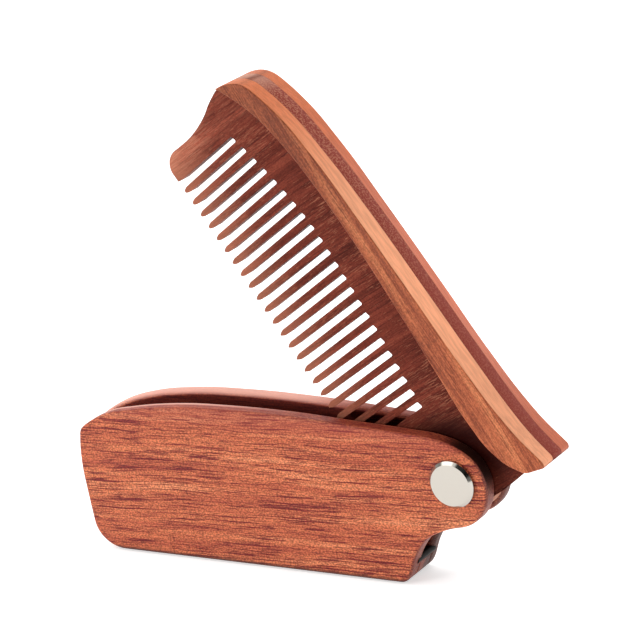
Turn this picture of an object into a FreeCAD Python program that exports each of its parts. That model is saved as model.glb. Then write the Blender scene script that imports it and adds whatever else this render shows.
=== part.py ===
import FreeCAD, Part
import math
import os

os.makedirs("parts", exist_ok=True)

V = FreeCAD.Vector

# Folding beard comb, in mm. +X runs along the handle to the pivot, +Z is up, +Y goes to the back.
# The origin is the centre of the handle's flat bottom edge, in the middle of its thickness.
# The outlines below are drawn with the comb folded shut, as x and z measured from the pivot.

PIVOT_X = 54.0
PIVOT_Z = 25.3
OPEN_ANGLE = 58.4

# Thickness of the layers.
HANDLE_THICK = 12.0
SCALE_THICK = 3.65
COMB_THICK = 12.0
PLATE_THICK = 4.1
TOOTH_TIP_THICK = 3.0
GLUE_LINE = 0.02
STRIP_THICK = (COMB_THICK - PLATE_THICK) / 2 - GLUE_LINE

# Handle.
BOTTOM_Z = -PIVOT_Z
LOBE_CENTRE = (-1.5, -0.95)
LOBE_R = 9.75
SLOT_FLOOR_Z = -21.3
END_WALL_R = 97.0
END_WALL_TOP_Z = -7.0
SCALE_ROUND = 0.8
SLOT_EDGE_ROUND = 0.5
REAR_SLOT_EDGE_ROUND = 1.5

# Comb.
TANG_R = 8.4
HEEL_X = 7.1
TOOTH_COUNT = 22
GAP_PITCH = 3.203
FIRST_GAP_X = -88.46
GAP_LEAN = 0.066
GAP_FAN = 0.0013
GAP_ROOT_W = 1.5
GAP_TIP_W = 1.75
TIP_ROUND_L = 1.6
TIP_FLAT = 0.6
ROOT_TILT = 0.12
STRIP_ROUND = 0.35

# Pivot, washers and pin.
POST_R = 2.5
PLATE_BORE_R = 2.55
SCALE_BORE_R = 2.52
HEAD_R = 5.42
HEAD_H = 1.25
HEAD_BEVEL = 0.65
SCREW_R = 1.5
SCREW_HOLE_R = 1.53
SCREW_DEPTH = 8.0
DRIVE_SLOT_W = 1.1
DRIVE_SLOT_DEPTH = 0.7
WASHER_R = 6.0
WASHER_THICK = 0.25
PIN_X = -13.2
PIN_Z = -20.3
PIN_R = 0.9
PIN_SOCKET = 1.5


# ---------------------------------------------------------------- outline helpers

def at(point, y=0.0):
    """A point of the outline plane, moved from the pivot to the part's own origin."""
    return V(point[0] + PIVOT_X, y, point[1] + PIVOT_Z)


def line(a, b, y=0.0):
    return Part.makeLine(at(a, y), at(b, y))


def arc(a, middle, b, y=0.0):
    return Part.Arc(at(a, y), at(middle, y), at(b, y)).toShape()


def unit(v):
    size = math.hypot(v[0], v[1])
    return (v[0] / size, v[1] / size)


def arc_from(a, direction, b, y):
    """The arc that leaves a in this direction and ends at b, or a line if b is straight ahead."""
    dx = b[0] - a[0]
    dz = b[1] - a[1]
    side = direction[0] * dz - direction[1] * dx
    if abs(side) < 1e-6 * (dx * dx + dz * dz):
        return line(a, b, y)
    r = (dx * dx + dz * dz) / (2 * side)
    centre = (a[0] - r * direction[1], a[1] + r * direction[0])
    turn = 2 * math.atan2(side, direction[0] * dx + direction[1] * dz)
    spoke = (a[0] - centre[0], a[1] - centre[1])
    c = math.cos(turn / 2)
    s = math.sin(turn / 2)
    middle = (centre[0] + spoke[0] * c - spoke[1] * s, centre[1] + spoke[0] * s + spoke[1] * c)
    return arc(a, middle, b, y)


def two_arcs(a, da, b, db, y):
    """Two arcs that meet smoothly and join a to b with the given directions at both ends."""
    vx = b[0] - a[0]
    vz = b[1] - a[1]
    tx = da[0] + db[0]
    tz = da[1] + db[1]
    vt = vx * tx + vz * tz
    vv = vx * vx + vz * vz
    k = 2 * (1 - (da[0] * db[0] + da[1] * db[1]))
    if k < 1e-9:
        d = vv / (2 * vt)
    else:
        d = (-vt + math.sqrt(vt * vt + k * vv)) / k
    p = (a[0] + d * da[0], a[1] + d * da[1])
    q = (b[0] - d * db[0], b[1] - d * db[1])
    joint = ((p[0] + q[0]) / 2, (p[1] + q[1]) / 2)
    return [arc_from(a, da, joint, y), arc_from(joint, unit((q[0] - p[0], q[1] - p[1])), b, y)]


def direction_at(a, b, c):
    """Direction at b of the circle through three points, walked from a to c."""
    first = unit((b[0] - a[0], b[1] - a[1]))
    second = unit((c[0] - b[0], c[1] - b[1]))
    w1 = math.hypot(c[0] - b[0], c[1] - b[1])
    w2 = math.hypot(b[0] - a[0], b[1] - a[1])
    return unit((first[0] * w1 + second[0] * w2, first[1] * w1 + second[1] * w2))


def curve(points, y, start, end):
    """A smooth chain of arcs through a few points, with set directions at its two ends."""
    ways = [unit(start)]
    for i in range(1, len(points) - 1):
        ways.append(direction_at(points[i - 1], points[i], points[i + 1]))
    ways.append(unit(end))
    edges = []
    for i in range(len(points) - 1):
        edges += two_arcs(points[i], ways[i], points[i + 1], ways[i + 1], y)
    return edges


def polar(radius, degrees, centre=(0.0, 0.0)):
    turn = math.radians(degrees)
    return (centre[0] + radius * math.cos(turn), centre[1] + radius * math.sin(turn))


def plate_of(edges, depth):
    """A flat solid with the outline of the edges, depth mm thick towards +Y."""
    face = Part.Face(Part.Wire(edges))
    solid = face.extrude(V(0, depth, 0))
    return solid


def cylinder(radius, length, x, y, z):
    return Part.makeCylinder(radius, length, V(x + PIVOT_X, y, z + PIVOT_Z), V(0, 1, 0))


def tidy(shape):
    """The one solid in a shape, with split faces joined again."""
    clean = shape.removeSplitter()
    if len(clean.Solids) != 1:
        raise RuntimeError("expected one solid, got %d" % len(clean.Solids))
    return clean.Solids[0]


def unfold(shape):
    """The shape turned about the pivot from folded shut to half open."""
    copy = shape.copy()
    copy.rotate(at((0, 0)), V(0, 1, 0), OPEN_ANGLE)
    return copy


def save(shape, name):
    if not shape.isValid():
        raise RuntimeError("bad shape: " + name)
    shape.exportStep("parts/" + name + ".step")
    box = shape.BoundBox
    print("%-20s %6.1f %6.1f %6.1f  vol %.1f" % (name, box.XLength, box.YLength, box.ZLength, shape.Volume))


# ---------------------------------------------------------------- handle

# Top edges of the two scales, from the rounded left end to the pivot lobe. The rear one stands a little higher.
LOBE_FROM = 62.0
LOBE_TO = -80.0
LOBE_START = polar(LOBE_R, LOBE_FROM, LOBE_CENTRE)
FRONT_TOP = [(-97.4, 5.6), (-91.5, 8.5), (-83.5, 10.25), (-72.0, 11.75), (-56.0, 12.35), (-40.0, 12.15),
             (-24.0, 11.25), (-11.5, 10.6), (-4.1, 10.0), (0.1, 9.0), LOBE_START]
REAR_TOP = [(-97.4, 5.6), (-91.5, 8.7), (-83.5, 11.1), (-72.0, 12.75), (-56.0, 13.3), (-40.0, 13.0),
            (-24.0, 12.1), (-11.5, 11.0), (-4.1, 10.1), (0.1, 9.0), LOBE_START]
NOTCH_WALL = [polar(LOBE_R, LOBE_TO, LOBE_CENTRE), (-4.0, -11.75), (-8.5, -14.2), (-11.2, -17.6), (-13.1, -21.8)]
NOTCH_FOOT = (-16.6, BOTTOM_Z)
UP_LEFT_END = (-0.1, 1.0)
UP_TOP_LEFT = (0.2, 1.0)
UP_TO_TOP = (2.0, 1.3)
DOWN_NOTCH = (-0.36, -1.0)


def round_direction(degrees):
    """Direction of travel at this angle when a circle is walked clockwise."""
    turn = math.radians(degrees)
    return (math.sin(turn), -math.cos(turn))


def handle_outline(top, y):
    """The handle seen from the front, walked clockwise from its top left."""
    lobe_middle = polar(LOBE_R, (LOBE_FROM + LOBE_TO) / 2, LOBE_CENTRE)
    left_low = (-99.25, -18.8)
    bottom_left = (-91.5, BOTTOM_Z)
    top_left = (-99.5, 3.2)
    edges = curve(top, y, UP_TO_TOP, round_direction(LOBE_FROM))
    edges.append(arc(top[-1], lobe_middle, NOTCH_WALL[0], y))
    edges += curve(NOTCH_WALL, y, round_direction(LOBE_TO), DOWN_NOTCH)
    edges += curve([NOTCH_WALL[-1], NOTCH_FOOT], y, DOWN_NOTCH, (-1.0, 0.0))
    edges.append(line(NOTCH_FOOT, bottom_left, y))
    edges += curve([bottom_left, left_low], y, (-1.0, 0.0), UP_LEFT_END)
    edges += curve([left_low, top_left], y, UP_LEFT_END, UP_TOP_LEFT)
    edges += curve([top_left, top[0]], y, UP_TOP_LEFT, UP_TO_TOP)
    return edges


def edges_on(shape, y, keep):
    """The edges that lie in the plane at this y and pass the test on their middle point."""
    found = []
    for edge in shape.Edges:
        box = edge.BoundBox
        if abs(box.YMin - y) > 1e-4 or abs(box.YMax - y) > 1e-4:
            continue
        middle = edge.valueAt((edge.FirstParameter + edge.LastParameter) / 2)
        if keep(middle.x - PIVOT_X, middle.z - PIVOT_Z):
            found.append(edge)
    return found


def handle_scale(front):
    """One side of the handle: rounded outside edges, an eased edge at the slot, and the pivot's bore."""
    y0 = -HANDLE_THICK / 2
    top = FRONT_TOP if front else REAR_TOP
    body = plate_of(handle_outline(top, y0), SCALE_THICK)
    outer = edges_on(body, y0, lambda x, z: True)
    body = body.makeFillet(SCALE_ROUND, outer)
    inner = edges_on(body, y0 + SCALE_THICK, lambda x, z: z > 8.0 and x < 0)
    body = body.makeFillet(SLOT_EDGE_ROUND if front else REAR_SLOT_EDGE_ROUND, inner)
    body = body.cut(cylinder(SCALE_BORE_R, SCALE_THICK + 2, 0, y0 - 1, 0))
    socket_y = y0 + SCALE_THICK - PIN_SOCKET
    body = body.cut(cylinder(PIN_R + 0.02, PIN_SOCKET + 1, PIN_X, socket_y, PIN_Z))
    if not front:
        body = body.mirror(V(0, 0, 0), V(0, 1, 0))
    return tidy(body)


def handle_spacer():
    """The wood between the scales: a bar along the bottom and a wall up the closed end."""
    width = HANDLE_THICK - 2 * SCALE_THICK - 2 * GLUE_LINE
    y0 = -width / 2
    bar = plate_of(handle_outline(FRONT_TOP, y0), width)
    inside = END_WALL_R
    start = polar(inside, 180.0)
    corner_turn = 180.0 + math.degrees(math.asin(-SLOT_FLOOR_Z / inside))
    corner = polar(inside, corner_turn)
    middle = polar(inside, (180.0 + corner_turn) / 2)
    wall_top = polar(inside, 180.0 + math.degrees(math.asin(-END_WALL_TOP_Z / inside)))
    wall_middle = polar(inside, (math.degrees(math.atan2(wall_top[1], wall_top[0])) + corner_turn + 360) / 2)
    room = [
        line((-110.0, END_WALL_TOP_Z), wall_top, y0),
        arc(wall_top, wall_middle, corner, y0),
        line(corner, (20.0, SLOT_FLOOR_Z), y0),
        line((20.0, SLOT_FLOOR_Z), (20.0, 20.0), y0),
        line((20.0, 20.0), (-110.0, 20.0), y0),
        line((-110.0, 20.0), (-110.0, END_WALL_TOP_Z), y0),
    ]
    bar = bar.cut(plate_of(room, width))
    bar = bar.cut(cylinder(PIN_R + 0.02, width, PIN_X, y0, PIN_Z))
    return tidy(bar)


def stop_pin():
    """A steel pin across the slot, let into both scales."""
    length = HANDLE_THICK - 2 * SCALE_THICK + 2 * PIN_SOCKET - 0.04
    return cylinder(PIN_R, length, PIN_X, -length / 2, PIN_Z)


# ---------------------------------------------------------------- comb

# Middle line of the comb's back, the lower line that its outer corners follow, and the low edges of the strips.
CROWN_TOP = [(-94.3, 13.1), (-86.0, 15.75), (-74.0, 17.55), (-58.0, 18.8), (-38.0, 19.6),
             (-20.0, 20.2), (-8.0, 20.8), (-1.0, 21.6), (5.7, 23.1)]
RIDGE_TOP = [(-94.3, 12.9), (-86.0, 15.5), (-74.0, 17.1), (-58.0, 17.9), (-38.0, 18.6),
             (-20.0, 19.1), (-8.0, 20.0), (-1.0, 21.1), (5.7, 22.9)]
STRIP_HEEL = [(-9.5, 12.15), (-2.0, 12.9), (3.6, 15.3), (HEEL_X - 0.7, 18.4)]
FRONT_LOW = [(-99.0, 5.1), (-95.3, 7.35), (-89.5, 9.9), (-80.0, 12.0), (-68.0, 13.1), (-55.0, 13.5),
             (-38.0, 13.15), (-22.0, 12.55)] + STRIP_HEEL
REAR_LOW = [(-99.0, 5.1), (-95.3, 7.45), (-89.5, 10.15), (-80.0, 12.4), (-68.0, 13.5), (-55.0, 13.85),
            (-38.0, 13.4), (-22.0, 12.6)] + STRIP_HEEL
GUARD_SIDE = [(-99.2, 3.0), (-98.1, -0.6), (-96.1, -4.8), (-94.7, -9.5), (-94.2, -16.6)]
BACK_TIP = (-99.0, 5.1)
BACK_END = (HEEL_X, 21.9)
HEEL_DOWN = (-0.2, -1.0)


def spine_top(points, y):
    """The back of the comb from its tip to its heel, with both corners rounded."""
    edges = curve([BACK_TIP, points[0]], y, (0.0, 1.0), (1.0, 0.42))
    edges += curve(points, y, (1.0, 0.42), (1.0, 0.26))
    edges += curve([points[-1], BACK_END], y, (1.0, 0.26), HEEL_DOWN)
    return edges


def strip_outline(top, low, y):
    edges = spine_top(top, y)
    edges.append(line(BACK_END, low[-1], y))
    edges += curve(list(reversed(low)), y, HEEL_DOWN, (-1.0, -0.8))
    return edges


def spine_strip(front):
    """One strip of the comb's back. Its top slopes down a little from the plate to the outside."""
    y_out = -COMB_THICK / 2
    y_in = y_out + STRIP_THICK
    low = FRONT_LOW if front else REAR_LOW
    outer = Part.Wire(strip_outline(RIDGE_TOP, low, y_out))
    inner = Part.Wire(strip_outline(CROWN_TOP, low, y_in))
    body = Part.makeLoft([outer, inner], True, True)
    body = body.makeFillet(STRIP_ROUND, edges_on(body, y_out, lambda x, z: True))
    if not front:
        body = body.mirror(V(0, 0, 0), V(0, 1, 0))
    return tidy(body)


def gap_x(index, z):
    """Middle of a gap between teeth at height z. The teeth lean and fan a little."""
    lean = GAP_LEAN - GAP_FAN * index
    return FIRST_GAP_X + GAP_PITCH * index - lean * z


def gap_root_z(index):
    """Where a gap ends at the comb's back: high in the middle of the row, low at both ends."""
    t = index / float(TOOTH_COUNT)
    if t < 0.4:
        return 3.95 - 4.85 * (1 - t / 0.4) ** 1.7
    return 3.95 - 2.45 * ((t - 0.4) / 0.6) ** 1.5


def tooth_tip_z(x):
    return -20.5 + 0.6 * (x + 88.0) / 70.0


def gap(index, y0, depth):
    """One gap between teeth. It widens at the tips, which leaves each tip round."""
    root = gap_root_z(index)
    middle_x = gap_x(index, -20.0)
    tip = tooth_tip_z(middle_x)
    shoulder = tip + TIP_ROUND_L
    half_root = GAP_ROOT_W / 2
    half_tip = GAP_TIP_W / 2
    half_pitch = GAP_PITCH / 2
    ease = 0.35

    def p(offset, z):
        return (gap_x(index, z) + offset, z)

    open_left = half_pitch - TIP_FLAT / 2
    open_right = half_pitch - TIP_FLAT / 2
    if index == 0:
        open_left = half_tip + 0.25
    if index == TOOTH_COUNT:
        open_right = half_tip + 0.25
    bow_left = half_tip + 0.24 * (open_left - half_tip)
    bow_right = half_tip + 0.24 * (open_right - half_tip)
    bow_z = tip + TIP_ROUND_L * 0.42
    corner = 0.29 * ease
    low = root - ROOT_TILT
    high = root + ROOT_TILT
    edges = [
        line(p(ease - half_root, low), p(half_root - ease, high), y0),
        arc(p(half_root - ease, high), p(half_root - corner, high - corner), p(half_root, high - ease), y0),
        line(p(half_root, high - ease), p(half_tip, shoulder), y0),
        arc(p(half_tip, shoulder), p(bow_right, bow_z), p(open_right, tip), y0),
        line(p(open_right, tip), p(open_right, tip - 3), y0),
        line(p(open_right, tip - 3), p(-open_left, tip - 3), y0),
        line(p(-open_left, tip - 3), p(-open_left, tip), y0),
        arc(p(-open_left, tip), p(-bow_left, bow_z), p(-half_tip, shoulder), y0),
        line(p(-half_tip, shoulder), p(-half_root, low - ease), y0),
        arc(p(-half_root, low - ease), p(corner - half_root, low - corner), p(ease - half_root, low), y0),
    ]
    return plate_of(edges, depth)


def plate_blank(y0):
    """The plate without its teeth: back, guard at the free end, tang round the pivot."""
    tang_top = polar(TANG_R, 30.0)
    tang_low = polar(TANG_R, -118.0)
    root_corner = (-14.6, -13.0)
    row_end_x = gap_x(TOOTH_COUNT, -20.0) + GAP_TIP_W / 2
    guard_end = (gap_x(0, -20.4) - GAP_TIP_W / 2, -20.6)
    edges = spine_top(CROWN_TOP, y0)
    heel_low = (HEEL_X - 0.98, 17.0)
    edges.append(line(BACK_END, heel_low, y0))
    edges += curve([heel_low, (6.55, 12.0), (7.1, 7.4), tang_top], y0, HEEL_DOWN, (0.2, -1.0))
    edges += [
        arc(tang_top, polar(TANG_R, -40.0), tang_low, y0),
        line(tang_low, root_corner, y0),
        arc(root_corner, (-16.0, -13.6), (-16.8, -15.0), y0),
        line((-16.8, -15.0), (row_end_x - 0.3, -20.2), y0),
        line((row_end_x - 0.3, -20.2), guard_end, y0),
        line(guard_end, (-90.6, -20.7), y0),
    ]
    edges += curve([(-90.6, -20.7), GUARD_SIDE[-1]], y0, (-1.0, 0.1), (0.0, 1.0))
    edges += curve(list(reversed(GUARD_SIDE)), y0, (0.0, 1.0), (-0.1, 1.0))
    edges.append(line(GUARD_SIDE[0], BACK_TIP, y0))
    return plate_of(edges, PLATE_THICK)


def tooth_wedge():
    """The side view of the plate: even at the back, thinner towards the tooth tips."""
    half = PLATE_THICK / 2
    half_tip = TOOTH_TIP_THICK / 2
    top = PIVOT_Z + 40
    start = PIVOT_Z + 2.0
    low = PIVOT_Z - 21.0
    x0 = PIVOT_X - 120
    corners = [(-half, top), (half, top), (half, start), (half_tip, low), (-half_tip, low), (-half, start)]
    points = [V(x0, y, z) for y, z in corners]
    face = Part.Face(Part.makePolygon(points + [points[0]]))
    return face.extrude(V(120 - 17.6, 0, 0))


def comb_plate():
    """The dark middle layer of the comb, in one piece."""
    y0 = -PLATE_THICK / 2
    blank = plate_blank(y0)
    gaps = [gap(i, y0 - 0.5, PLATE_THICK + 1) for i in range(TOOTH_COUNT + 1)]
    body = blank.cut(gaps)
    keep_right = Part.makeBox(60, PLATE_THICK, 80, V(PIVOT_X - 17.6, y0, PIVOT_Z - 30))
    body = body.common(tooth_wedge().fuse(keep_right))
    body = body.cut(cylinder(PLATE_BORE_R, PLATE_THICK + 2, 0, y0 - 1, 0))
    return tidy(body)


# ---------------------------------------------------------------- pivot

def round_head(outer_y):
    """A flat head with a bevelled rim that stands on a scale's outside face."""
    head = cylinder(HEAD_R, HEAD_H, 0, outer_y, 0)
    rim = [e for e in head.Edges if abs(e.BoundBox.YMin - outer_y) < 1e-6 and abs(e.BoundBox.YMax - outer_y) < 1e-6]
    return head.makeChamfer(HEAD_BEVEL, rim)


def pivot_post():
    """The front half of the pivot: a flat head and a hollow barrel through both scales."""
    face = -HANDLE_THICK / 2
    head = round_head(face - HEAD_H)
    barrel = cylinder(POST_R, HANDLE_THICK - 0.3, 0, face - 0.01, 0)
    hole = cylinder(SCREW_HOLE_R, SCREW_DEPTH + 1, 0, -face - 0.3 - SCREW_DEPTH, 0)
    return tidy(head.fuse(barrel).cut(hole))


def pivot_screw():
    """The back half of the pivot: a slotted head and a shank inside the barrel."""
    face = HANDLE_THICK / 2
    head = round_head(-face - HEAD_H)
    slot = Part.makeBox(2 * HEAD_R + 2, DRIVE_SLOT_DEPTH, DRIVE_SLOT_W)
    slot.translate(V(PIVOT_X - HEAD_R - 1, -face - HEAD_H, PIVOT_Z - DRIVE_SLOT_W / 2))
    head = head.cut(slot)
    shank = cylinder(SCREW_R, SCREW_DEPTH - 0.2, 0, -face - 0.01, 0)
    screw = head.fuse(shank).mirror(V(0, 0, 0), V(0, 1, 0))
    return tidy(screw)


def washer(front):
    """A thin washer in the gap between the plate and a scale."""
    y0 = -HANDLE_THICK / 2 + SCALE_THICK + 0.01
    ring = cylinder(WASHER_R, WASHER_THICK, 0, y0, 0).cut(cylinder(PLATE_BORE_R, 2, 0, y0 - 1, 0))
    if not front:
        ring = ring.mirror(V(0, 0, 0), V(0, 1, 0))
    return tidy(ring)


save(handle_scale(True), "handle_scale_front")
save(handle_scale(False), "handle_scale_rear")
save(handle_spacer(), "handle_spacer")
save(stop_pin(), "stop_pin")
save(unfold(comb_plate()), "comb_plate")
save(unfold(spine_strip(True)), "spine_strip_front")
save(unfold(spine_strip(False)), "spine_strip_rear")
save(pivot_post(), "pivot_post")
save(pivot_screw(), "pivot_screw")
save(washer(True), "washer_front")
save(washer(False), "washer_rear")
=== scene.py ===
"""A folding beard comb: handle of two scales, comb with a plate between two strips, and a metal pivot."""

import math

import bpy
from mathutils import Matrix, Vector

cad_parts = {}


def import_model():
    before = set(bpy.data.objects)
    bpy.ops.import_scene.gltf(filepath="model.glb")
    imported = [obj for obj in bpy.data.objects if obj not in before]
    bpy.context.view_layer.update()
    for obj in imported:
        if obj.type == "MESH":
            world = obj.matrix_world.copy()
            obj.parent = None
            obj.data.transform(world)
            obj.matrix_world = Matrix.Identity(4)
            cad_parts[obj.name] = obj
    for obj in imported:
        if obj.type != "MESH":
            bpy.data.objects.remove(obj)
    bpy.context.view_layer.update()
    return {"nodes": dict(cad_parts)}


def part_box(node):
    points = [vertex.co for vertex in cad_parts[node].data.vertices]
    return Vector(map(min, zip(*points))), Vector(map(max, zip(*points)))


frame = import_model()
nodes = frame["nodes"]
MM = 0.001

PIVOT = Vector(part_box("pivot_post")[0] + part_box("pivot_post")[1]) / 2
PIVOT.y = 0.0
FRONT_FACE_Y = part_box("handle_scale_front")[0].y
OPEN_DEGREES = 58.4             # how far the comb stands open at rest


# ---------------------------------------------------------------- colours and gloss

def srgb(red, green, blue):
    """A colour given from 0 to 255 as a picture shows it, as linear RGBA."""
    def linear(value):
        value /= 255.0
        if value <= 0.04045:
            return value / 12.92
        return ((value + 0.055) / 1.055) ** 2.4
    return (linear(red), linear(green), linear(blue), 1.0)


# Each wood has four tones for its bands, from dark to light, and one for its streaks and pores.
PADAUK = [srgb(170, 82, 56), srgb(185, 96, 63), srgb(198, 109, 71), srgb(213, 131, 90)]
PADAUK_STREAK = srgb(112, 32, 30)
PADAUK_UPPER = srgb(150, 60, 52)
# painted highlight on the handle's tops
PADAUK_TOP_HIGHLIGHT = srgb(248, 186, 168)
# painted contact shadow along the handle's foot
PADAUK_FOOT_SHADOW = srgb(52, 20, 18)
# painted shade on the faces turned towards +x, the cut ends at the notch
PADAUK_END_SHADE = srgb(112, 66, 62)
# painted shade on the rear scale's end by the notch
PADAUK_REAR_END_SHADE = srgb(44, 26, 22)
# painted shadow on the front scale's rim under the comb
PADAUK_RIM_SHADOW = srgb(18, 5, 4)
# painted shade in the slot: a dark red tint and a darkening
SLOT_SHADOW_TINT = (0.38, 0.09, 0.05, 1.0)
SLOT_SHADE = 0.62

ROSEWOOD = [srgb(92, 37, 26), srgb(106, 44, 31), srgb(118, 51, 37), srgb(134, 63, 46)]
ROSEWOOD_STREAK = srgb(60, 16, 12)
ROSEWOOD_SCRATCH = srgb(186, 120, 92)
ROSEWOOD_GUARD = srgb(200, 134, 106)
ROSEWOOD_TEETH = srgb(200, 130, 102)
# painted shadow on the plate around the pivot
ROSEWOOD_PIVOT_SHADOW = srgb(38, 3, 1)
ROSEWOOD_BACK = srgb(142, 62, 52)
ROSEWOOD_SPECK = srgb(204, 136, 106)
# painted highlight at the comb's tip
ROSEWOOD_TIP_HIGHLIGHT = srgb(220, 166, 142)
# painted highlight on the plate's lower heel edge
ROSEWOOD_HEEL_HIGHLIGHT = srgb(206, 142, 112)

STRIP = [srgb(130, 63, 38), srgb(150, 76, 46), srgb(166, 89, 55), srgb(186, 110, 70)]
STRIP_STREAK = srgb(104, 42, 22)
STRIP_TIP = srgb(216, 116, 68)
# painted highlights on the strips' tops: paler on the front strip, duller on the rear one
STRIP_TOP_FRONT = srgb(250, 172, 130)
STRIP_TOP_REAR = srgb(208, 111, 78)

NICKEL = srgb(189, 184, 175)
STEEL = srgb(34, 32, 30)
BRASS = srgb(196, 160, 96)
FLOOR_WHITE = (0.82, 0.82, 0.82, 1.0)

WOOD_SHEEN = 0.2                # specular level of the oiled wood
PLATE_SHEEN = 0.06
WOOD_ROUGHNESS = 0.45
PLATE_ROUGHNESS = 0.5


# ---------------------------------------------------------------- node trees

class Nodes:
    """A node tree under construction. Each method adds nodes and gives back an output socket."""

    def __init__(self, tree):
        self.tree = tree

    def feed(self, socket, value):
        if isinstance(value, bpy.types.NodeSocket):
            self.tree.links.new(value, socket)
        else:
            socket.default_value = value

    def node(self, kind, inputs, **settings):
        node = self.tree.nodes.new(kind)
        for key, value in settings.items():
            setattr(node, key, value)
        for key, value in inputs.items():
            self.feed(node.inputs[key], value)
        return node

    def split(self, vector):
        return self.node("ShaderNodeSeparateXYZ", {0: vector}).outputs[:3]

    def math(self, operation, a, b=0.0):
        return self.node("ShaderNodeMath", {0: a, 1: b}, operation=operation).outputs[0]

    def times(self, a, b):
        return self.math("MULTIPLY", a, b)

    def step(self, value, low, high, to_low=0.0, to_high=1.0):
        """A soft step: to_low below low, to_high above high."""
        inputs = {"Value": value, "From Min": low, "From Max": high, "To Min": to_low, "To Max": to_high}
        return self.node("ShaderNodeMapRange", inputs, interpolation_type="SMOOTHSTEP").outputs[0]

    def towards(self, direction, vector):
        """1 where the vector points in a direction, 0 square to it."""
        inputs = {0: direction, 1: tuple(Vector(vector).normalized())}
        return self.node("ShaderNodeVectorMath", inputs, operation="DOT_PRODUCT").outputs["Value"]


class Shader(Nodes):
    """A material under construction, in the piece's own place and axes."""

    def __init__(self, name):
        self.material = bpy.data.materials.new(name)
        self.material.use_nodes = True
        super().__init__(self.material.node_tree)
        self.tree.nodes.clear()

    def place(self):
        return self.node("ShaderNodeTexCoord", {}).outputs["Object"]

    def turned(self, vector, degrees, centre=(0, 0, 0)):
        """The vector turned about Y, for what runs at an angle to the piece's own axes."""
        inputs = {"Vector": vector, "Center": centre, "Axis": (0, 1, 0), "Angle": math.radians(degrees)}
        return self.node("ShaderNodeVectorRotate", inputs, rotation_type="AXIS_ANGLE").outputs[0]

    def facing(self, turn=0.0):
        """Which way the surface faces, as x, y and z, in axes turned about Y."""
        normal = self.node("ShaderNodeTexCoord", {}).outputs["Normal"]
        return self.split(self.turned(normal, turn))

    def stretched(self, vector, x, y, z):
        inputs = {0: vector, 1: (x, y, z)}
        return self.node("ShaderNodeVectorMath", inputs, operation="MULTIPLY").outputs[0]

    def added(self, a, b):
        return self.node("ShaderNodeVectorMath", {0: a, 1: b}, operation="ADD").outputs[0]

    def noise(self, vector, scale=1.0, detail=2.0, rough=0.5):
        inputs = {"Vector": vector, "Scale": scale, "Detail": detail, "Roughness": rough}
        return self.node("ShaderNodeTexNoise", inputs).outputs[0]

    def mix(self, factor, a, b, blend="MIX"):
        node = self.tree.nodes.new("ShaderNodeMix")
        node.data_type = "RGBA"
        node.blend_type = blend
        self.feed(node.inputs[0], factor)
        self.feed(node.inputs[6], a)
        self.feed(node.inputs[7], b)
        return node.outputs[2]

    def scaled(self, colour, amount):
        """The colour made lighter or darker by an amount that may vary over the surface."""
        grey = self.node("ShaderNodeCombineColor", {0: amount, 1: amount, 2: amount}).outputs[0]
        return self.mix(1.0, colour, grey, "MULTIPLY")

    def ramp(self, value, stops):
        node = self.tree.nodes.new("ShaderNodeValToRGB")
        self.feed(node.inputs[0], value)
        ramp = node.color_ramp
        while len(ramp.elements) < len(stops):
            ramp.elements.new(0.5)
        for element, (position, colour) in zip(ramp.elements, stops):
            element.position = position
            element.color = colour
        return node.outputs[0]

    def bump(self, height, strength, distance):
        inputs = {"Height": height, "Strength": strength, "Distance": distance}
        return self.node("ShaderNodeBump", inputs).outputs[0]

    def finish(self, **inputs):
        """The surface itself. Names with _ stand for the sockets' names with a space."""
        node = self.tree.nodes.new("ShaderNodeBsdfPrincipled")
        for key, value in inputs.items():
            self.feed(node.inputs[key.replace("_", " ")], value)
        out = self.tree.nodes.new("ShaderNodeOutputMaterial")
        self.tree.links.new(node.outputs[0], out.inputs[0])
        return self.material


# ---------------------------------------------------------------- wood

def grain_place(s, turn, seed, along):
    """Place in the wood: x runs with the grain, which waves a little."""
    place = s.added(s.turned(s.place(), turn, tuple(PIVOT)), (seed, seed * 0.7, seed * 1.3))
    if along == "z":
        place = s.turned(place, 90.0)
    wave = s.noise(s.stretched(place, 22, 40, 40), detail=1.0)
    lift = s.times(s.math("SUBTRACT", wave, 0.5), 2.6 * MM)
    shift = s.node("ShaderNodeCombineXYZ", {"Z": lift}).outputs[0]
    return s.added(place, shift)


def lines(s, grain, length, width, low, high, groups, spread):
    """Fine lines along the grain, from 0 to 1, thicker where the groups are. Sizes in mm."""
    along = 1 / (length * MM)
    across = 1 / (width * MM)
    noise = s.noise(s.stretched(grain, along, across, across), detail=2.0, rough=0.6)
    edge = s.math("ADD", noise, s.times(s.math("SUBTRACT", groups, 0.5), spread))
    return s.step(edge, low, high)


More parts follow.
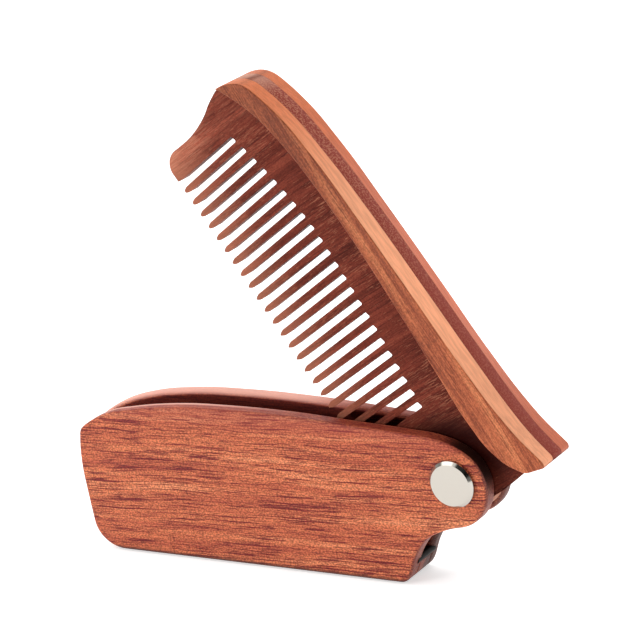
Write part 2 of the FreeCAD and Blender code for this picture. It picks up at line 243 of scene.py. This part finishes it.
def wood(s, grain, tones, dark, streaks, pores, grit):
    """Oiled wood: broad bands of tone, long dark streaks, short open pores and a fine grit."""
    broad = s.noise(s.stretched(grain, 18, 420, 420), detail=4.0, rough=0.6)
    colour = s.ramp(broad, list(zip((0.32, 0.45, 0.55, 0.68), tones)))
    groups = s.noise(s.stretched(grain, 45, 170, 170), detail=2.0)
    fine_place = s.added(grain, (0.2, 0.1, 0.3))
    pore_place = s.added(grain, (0.5, 0.3, 0.1))
    long_lines = lines(s, grain, 15.0, 0.38, 0.57, 0.615, groups, 0.18)
    fine_lines = lines(s, fine_place, 7.0, 0.27, 0.55, 0.60, groups, 0.12)
    open_pores = lines(s, pore_place, 2.2, 0.2, 0.57, 0.65, groups, 0.1)
    colour = s.mix(s.times(long_lines, streaks), colour, dark)
    colour = s.mix(s.times(fine_lines, streaks * 0.75), colour, dark)
    colour = s.mix(s.times(open_pores, pores), colour, dark)
    grit_noise = s.noise(s.stretched(grain, 2000, 2900, 2900), detail=1.0, rough=0.5)
    colour = s.scaled(colour, s.step(grit_noise, 0.36, 0.64, 1.0 - grit, 1.0 + grit))
    dents = s.math("ADD", s.times(fine_lines, -0.5), s.times(open_pores, -0.8))
    height = s.math("ADD", dents, s.times(grit_noise, 0.7))
    return colour, height, open_pores


def finish_wood(s, colour, height, open_pores, roughness, sheen):
    gloss = s.math("ADD", s.times(open_pores, 0.15), roughness)
    normal = s.bump(height, 0.4, 0.12 * MM)
    return s.finish(Base_Color=colour, Roughness=gloss, Normal=normal, Specular_IOR_Level=sheen)


def painted_top_highlight(s, front, x, y, face_z):
    """Where the painted highlight falls on the tops: all of the rear scale's top and the rim at the slot
    on the front one, both fading out towards the pivot as painted shade from the comb.
    """
    inner_rim = s.times(s.step(face_z, 0.3, 0.7), s.step(y, -4.0 * MM, -3.3 * MM))
    front_rim_highlight = s.times(inner_rim, s.step(x, -15.0 * MM, 20.0 * MM, 0.75, 0.0))
    upward = s.step(face_z, 0.35, 0.9, 0.0, 0.74)
    rear_top_highlight = s.times(upward, s.step(x, 10.0 * MM, 30.0 * MM, 1.0, 0.15))
    return s.node("ShaderNodeMix", {0: front, 2: rear_top_highlight, 3: front_rim_highlight}).outputs[0]


def handle_wood(inside):
    """Padauk, with painted shade in the slot, on the cut ends and along the foot, a painted shadow on the
    front scale's rim by the pivot, and a painted highlight on the tops. The slot's faces are "walls" or
    "floor".
    """
    s = Shader("handle_padauk_" + inside)
    grain = grain_place(s, 1.5, 0.31, "x")
    colour, height, pores = wood(s, grain, PADAUK, PADAUK_STREAK, streaks=1.0, pores=0.6, grit=0.36)
    x, y, z = s.split(s.place())
    face_x, face_y, face_z = s.facing()
    front = s.step(y, -1.0 * MM, 1.0 * MM, 1.0, 0.0)
    rear = s.step(y, -1.0 * MM, 1.0 * MM)
    colour = s.mix(s.step(z, 31.0 * MM, 36.5 * MM, 0.0, 0.5), colour, PADAUK_UPPER)
    # painted highlight: the tops made paler and pinker, as if lit from above
    colour = s.mix(painted_top_highlight(s, front, x, y, face_z), colour, PADAUK_TOP_HIGHLIGHT)
    # painted contact shadow: darker within about 1.4 mm of the floor
    colour = s.mix(s.step(z, 0.3 * MM, 1.4 * MM, 0.9, 0.0), colour, PADAUK_FOOT_SHADOW)
    # painted shade: faces turned towards +x darkened
    colour = s.mix(s.step(face_x, 0.15, 0.85, 0.0, 0.7), colour, PADAUK_END_SHADE)
    # painted shade: the rear scale's faces turned towards +x darkened
    rear_end_shade = s.times(s.step(face_x, 0.05, 0.5), s.step(z, 12.0 * MM, 17.0 * MM, 0.75, 0.5))
    colour = s.mix(s.times(rear_end_shade, rear), colour, PADAUK_REAR_END_SHADE)
    if inside == "walls":
        # painted shadow: the front scale's rim that faces up and to the right, by the pivot, made nearly
        # black
        rim = s.times(s.step(face_x, 0.1, 0.45), s.step(face_y, -0.6, -0.2))
        shaded_rim = s.times(rim, s.step(face_z, -0.25, 0.35, 0.0, 0.93))
        colour = s.mix(s.times(shaded_rim, front), colour, PADAUK_RIM_SHADOW)
        slot = s.step(s.math("ABSOLUTE", y), 2.38 * MM, 2.62 * MM, 0.94, 0.0)
    else:
        slot = s.step(face_z, 0.2, 0.5, 0.0, 0.94)
    # painted shade: the slot's inner faces darkened and reddened as if in shadow
    slot_shaded = s.mix(1.0, s.scaled(colour, SLOT_SHADE), SLOT_SHADOW_TINT, "MULTIPLY")
    colour = s.mix(slot, colour, slot_shaded)
    pores = s.math("ADD", pores, s.times(slot, 2.5))
    return finish_wood(s, colour, height, pores, WOOD_ROUGHNESS, WOOD_SHEEN)


def from_pivot(s):
    """Distance from the pivot's axis."""
    flat = s.stretched(s.place(), 1.0, 0.0, 1.0)
    inputs = {0: flat, 1: tuple(PIVOT)}
    return s.node("ShaderNodeVectorMath", inputs, operation="DISTANCE").outputs["Value"]


def closed_place(s):
    """Place on the comb as if it were folded shut, from the pivot: x from its tip to its heel, z up."""
    x, _, z = s.split(s.turned(s.place(), -OPEN_DEGREES, tuple(PIVOT)))
    return s.math("SUBTRACT", x, PIVOT.x), s.math("SUBTRACT", z, PIVOT.z)


def plate_scratches(s, colour, grain, up):
    """Pale hairlines along the grain, on wood that is darker and more scratched below the strips."""
    groups = s.noise(s.stretched(grain, 60, 110, 110), detail=1.0)
    scratches = lines(s, s.added(grain, (0.9, 0.4, 0.2)), 2.2, 0.16, 0.58, 0.66, groups, 0.3)
    below_strip = s.step(up, 3.5 * MM, 10.0 * MM)
    colour = s.scaled(colour, s.step(below_strip, 0.0, 1.0, 1.0, 0.84))
    amount = s.step(below_strip, 0.0, 1.0, 0.28, 0.45)
    return s.mix(s.times(scratches, amount), colour, ROSEWOOD_SCRATCH)


def guard_and_teeth(s, colour, grain, along, up):
    """The guard at the free end is paler and fibrous, and the teeth grow paler to their tips."""
    low = s.step(up, -16.0 * MM, -2.0 * MM, 1.0, 0.15)
    guard = s.times(s.step(along, -93.5 * MM, -87.5 * MM, 1.0, 0.0), low)
    colour = s.scaled(colour, s.step(guard, 0.0, 1.0, 1.0, 1.45))
    fibres = s.noise(s.stretched(grain, 250, 4200, 4200), detail=1.0)
    colour = s.mix(s.times(guard, s.step(fibres, 0.42, 0.62, 0.1, 0.62)), colour, ROSEWOOD_GUARD)
    return s.mix(s.step(up, -24.0 * MM, -6.0 * MM, 0.5, 0.0), colour, ROSEWOOD_TEETH)


def plate_back(s, colour, along, up):
    """The cut edge along the comb's back: speckled end grain, with a painted highlight at the tip."""
    face_x, _, face_z = s.facing(-OPEN_DEGREES)
    speckle = s.step(s.noise(s.place(), scale=2500.0, detail=1.0), 0.46, 0.62)
    amount = s.step(along, -88.0 * MM, -20.0 * MM, 0.55, 0.16)
    edge = s.mix(s.times(speckle, amount), ROSEWOOD_BACK, ROSEWOOD_SPECK)
    # painted highlight: the back edge made paler towards the tip
    edge = s.mix(s.step(along, -98.5 * MM, -90.0 * MM, 0.75, 0.0), edge, ROSEWOOD_TIP_HIGHLIGHT)
    tip_end = s.times(s.times(face_x, -1.0), s.step(up, 4.0 * MM, 6.0 * MM))
    back = s.step(s.math("MAXIMUM", face_z, tip_end), 0.6, 0.9, 0.0, 0.9)
    return s.mix(back, colour, edge)


def plate_wood():
    """Rosewood with its grain along the teeth, with a painted shadow around the pivot and a painted
    highlight on the heel's lower edge.
    """
    s = Shader("plate_rosewood")
    grain = grain_place(s, -OPEN_DEGREES, 0.83, "z")
    colour, height, pores = wood(s, grain, ROSEWOOD, ROSEWOOD_STREAK, streaks=0.5, pores=0.3, grit=0.14)
    along, up = closed_place(s)
    colour = plate_scratches(s, colour, grain, up)
    colour = guard_and_teeth(s, colour, grain, along, up)
    z = s.split(s.place())[2]
    # painted shadow: the plate made nearly black within about 18 mm of the pivot, less so below the
    # pivot's height
    high = s.step(z, PIVOT.z - 1.0 * MM, PIVOT.z + 5.0 * MM, 0.35, 1.0)
    pivot_shadow = s.times(s.step(from_pivot(s), 10.0 * MM, 18.5 * MM, 0.95, 0.0), high)
    colour = s.mix(pivot_shadow, colour, ROSEWOOD_PIVOT_SHADOW)
    colour = plate_back(s, colour, along, up)
    # painted highlight: the plate's faces turned down and to the right near the heel made pale
    face_x, _, face_z = s.facing()
    heel_side = s.times(s.step(face_x, 0.2, 0.45), s.step(face_z, -0.25, 0.1, 0.55, 0.0))
    heel_highlight = s.times(heel_side, s.step(from_pivot(s), 13.5 * MM, 16.5 * MM, 1.0, 0.0))
    colour = s.mix(heel_highlight, colour, ROSEWOOD_HEEL_HIGHLIGHT)
    return finish_wood(s, colour, height, pores, PLATE_ROUGHNESS, PLATE_SHEEN)


def strip_wood(name, highlight_colour, top_amount):
    """Lighter wood along the comb's back, with a painted highlight on the top and on the tip end."""
    s = Shader(name)
    grain = grain_place(s, -OPEN_DEGREES, 0.57, "x")
    colour, height, pores = wood(s, grain, STRIP, STRIP_STREAK, streaks=0.65, pores=0.5, grit=0.2)
    along, _ = closed_place(s)
    colour = s.scaled(colour, s.step(along, -80.0 * MM, -40.0 * MM, 0.84, 1.05))
    colour = s.scaled(colour, s.step(along, -50.0 * MM, -4.0 * MM, 1.0, 1.12))
    face_x, _, face_z = s.facing(-OPEN_DEGREES)
    fibres = s.noise(s.stretched(grain, 150, 1500, 1500), detail=3.0, rough=0.6)
    # painted highlight: the strips' tops and tip ends made paler, most near the middle of their length
    strip_top_highlight = s.mix(s.step(along, -96.0 * MM, -58.0 * MM, 0.95, 0.0), highlight_colour, STRIP_TIP)
    strip_top_highlight = s.scaled(strip_top_highlight, s.step(fibres, 0.3, 0.7, 0.86, 1.1))
    strip_top_highlight = s.scaled(strip_top_highlight, s.step(along, -62.0 * MM, -40.0 * MM, 1.0, 1.1))
    strip_top_highlight = s.scaled(strip_top_highlight, s.step(along, -34.0 * MM, -6.0 * MM, 1.0, 0.84))
    up_or_tip = s.math("MAXIMUM", face_z, s.times(face_x, -1.0))
    colour = s.mix(s.step(up_or_tip, 0.55, 0.85, 0.0, top_amount), colour, strip_top_highlight)
    return finish_wood(s, colour, height, pores, WOOD_ROUGHNESS, WOOD_SHEEN)


# ---------------------------------------------------------------- metal and pieces

def metal(name, colour, roughness):
    """Polished metal with fine scratches."""
    s = Shader(name)
    scratch = s.noise(s.stretched(s.place(), 400, 3000, 6000), detail=2.0)
    gloss = s.step(scratch, 0.3, 0.7, roughness - 0.03, roughness + 0.05)
    normal = s.bump(scratch, 0.05, 0.02 * MM)
    return s.finish(Base_Color=colour, Metallic=1.0, Roughness=gloss, Normal=normal)


def paint(names, material):
    for name in names:
        for slot in nodes[name].material_slots:
            slot.material = material


def soften(name, width):
    """Eases the sharp edges of a CAD node. Width in mm."""
    weld = nodes[name].modifiers.new("weld", "WELD")
    weld.merge_threshold = 0.002 * MM
    bevel = nodes[name].modifiers.new("edges", "BEVEL")
    bevel.width = width * MM
    bevel.segments = 2
    bevel.limit_method = "ANGLE"
    bevel.angle_limit = math.radians(35)
    bevel.harden_normals = True


paint(["handle_scale_front", "handle_scale_rear"], handle_wood("walls"))
paint(["handle_spacer"], handle_wood("floor"))
paint(["comb_plate"], plate_wood())
paint(["spine_strip_front"], strip_wood("strip_wood_front", STRIP_TOP_FRONT, 0.9))
paint(["spine_strip_rear"], strip_wood("strip_wood_rear", STRIP_TOP_REAR, 0.85))
paint(["pivot_post", "pivot_screw"], metal("polished_nickel", NICKEL, 0.1))
paint(["stop_pin"], metal("pin_steel", STEEL, 0.5))
paint(["washer_front", "washer_rear"], metal("washer_brass", BRASS, 0.32))
soften("comb_plate", 0.18)


# ---------------------------------------------------------------- studio

FLOOR_GLOW = 0.66
WORLD_FRONT = 0.25              # brightness of the room in front of the object
WORLD_BACK = 1.1
WORLD_TOP = 1.1
LAMP_LEVEL = 2.4
LAMP_SIDE = (-0.528, -0.31, 0.791)      # towards the lamp that the pivot's upper bevel mirrors
DARK_SIDE = (0.45, -0.57, 0.66)         # towards the dark part that its upper right bevel mirrors
DARK_LEVEL = 0.04
LAMP_AIM = Vector((0.0, 0.0, 0.05))     # what the two soft lamps point at

CAMERA_AZIMUTH = math.radians(33.7)
CAMERA_ELEVATION = math.radians(18.05)
CAMERA_ROLL = math.radians(-7.68)
CAMERA_PLACE = (-28.58, 35.31, 648.7)   # mm from the pivot, along the picture's right, its up and back
CAMERA_LENS = 169.3
CAMERA_SENSOR = 36.0


def floor():
    mesh = bpy.data.meshes.new("floor")
    size = 3.0
    corners = [(-size, -size, 0), (size, -size, 0), (size, size, 0), (-size, size, 0)]
    mesh.from_pydata(corners, [], [(0, 1, 2, 3)])
    s = Shader("floor_white")
    glow = {"Emission_Color": FLOOR_WHITE, "Emission_Strength": FLOOR_GLOW}
    mesh.materials.append(s.finish(Base_Color=FLOOR_WHITE, Roughness=0.9, **glow))
    plane = bpy.data.objects.new("floor", mesh)
    plane.location.z = -0.3 * MM
    bpy.context.scene.collection.objects.link(plane)


def light(name, place, size, power):
    """A round soft lamp that points at the object."""
    data = bpy.data.lights.new(name, "AREA")
    data.shape = "DISK"
    data.size = size
    data.energy = power
    lamp = bpy.data.objects.new(name, data)
    lamp.location = place
    aim = LAMP_AIM - Vector(place)
    lamp.rotation_euler = aim.to_track_quat("-Z", "Y").to_euler()
    bpy.context.scene.collection.objects.link(lamp)


def world():
    """A room that is bright behind and above, dimmer in front, with one lamp and one dark part."""
    background = bpy.data.worlds.new("studio")
    bpy.context.scene.world = background
    background.use_nodes = True
    s = Nodes(background.node_tree)
    direction = s.node("ShaderNodeTexCoord", {}).outputs["Generated"]
    _, back, high = s.split(direction)
    level = s.step(back, -0.3, 0.5, WORLD_FRONT, WORLD_BACK)
    level = s.math("MAXIMUM", level, s.step(high, 0.4, 0.75, 0.0, WORLD_TOP))
    level = s.math("MAXIMUM", level, s.step(s.towards(direction, LAMP_SIDE), 0.9, 0.96, 0.0, LAMP_LEVEL))
    lit = s.step(s.towards(direction, DARK_SIDE), 0.82, 0.92, 1.0, DARK_LEVEL)
    shader = s.tree.nodes["Background"]
    s.feed(shader.inputs[1], s.times(level, lit))
    s.feed(shader.inputs[0], (1.0, 1.0, 1.0, 1.0))


def camera():
    """The camera looks along -back, rolled about that line."""
    flat = math.cos(CAMERA_ELEVATION)
    sine, cosine = math.sin(CAMERA_AZIMUTH), math.cos(CAMERA_AZIMUTH)
    back = Vector((sine * flat, -cosine * flat, math.sin(CAMERA_ELEVATION)))
    right = Vector((cosine, sine, 0.0))
    up = back.cross(right)
    x_axis = right * math.cos(CAMERA_ROLL) + up * math.sin(CAMERA_ROLL)
    y_axis = up * math.cos(CAMERA_ROLL) - right * math.sin(CAMERA_ROLL)
    aside, above, away = CAMERA_PLACE
    near = Vector((PIVOT.x, FRONT_FACE_Y, PIVOT.z))
    place = near + MM * (aside * x_axis + above * y_axis + away * back)
    data = bpy.data.cameras.new("camera")
    data.lens = CAMERA_LENS
    data.sensor_width = CAMERA_SENSOR
    data.clip_start = 0.01
    data.clip_end = 20.0
    eye = bpy.data.objects.new("camera", data)
    turn = Matrix((x_axis, y_axis, back)).transposed().to_4x4()
    eye.matrix_world = Matrix.Translation(place) @ turn
    bpy.context.scene.collection.objects.link(eye)
    bpy.context.scene.camera = eye


floor()
world()
light("key", (0.33, 0.16, 1.05), 0.5, 2.5)
light("front", (-0.66, -0.80, 0.28), 0.35, 4.7)
camera()
bpy.context.scene.view_settings.view_transform = "Standard"
